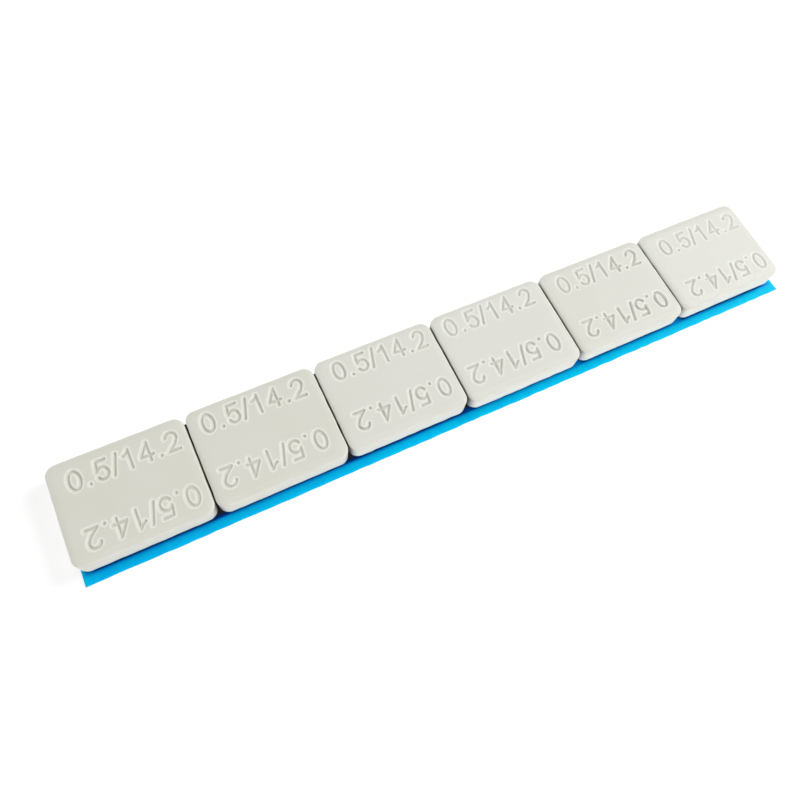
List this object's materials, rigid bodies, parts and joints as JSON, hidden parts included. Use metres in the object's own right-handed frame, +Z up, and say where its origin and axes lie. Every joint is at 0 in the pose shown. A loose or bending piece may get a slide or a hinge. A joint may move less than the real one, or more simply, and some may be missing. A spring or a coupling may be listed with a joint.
{
  "type": "wheel balance weight",
  "caption": "Stick-on wheel balance weight strip: coated steel segments in a row on foam tape, with a peel-off release film standing out along the front edge.",
  "frame": {"origin": "centre of the bounding box's underside, on the lower face of the release film", "axes": "+X along the strip, +Y to the back edge away from the film's overhang, +Z up through the tape and the segments"},
  "size_m": [0.1474, 0.021, 0.0049],
  "materials": {
    "coated_steel": "satin powder coat, light warm grey",
    "foam": "matte black closed-cell foam",
    "release_film": "semi-gloss blue film"
  },
  "bodies": {
    "root": {"weight_1": "coated_steel", "weight_2": "coated_steel", "weight_3": "coated_steel", "weight_4": "coated_steel", "weight_5": "coated_steel", "weight_6": "coated_steel", "foam_tape": "foam", "release_liner": "release_film"}
  },
  "joints": []
}
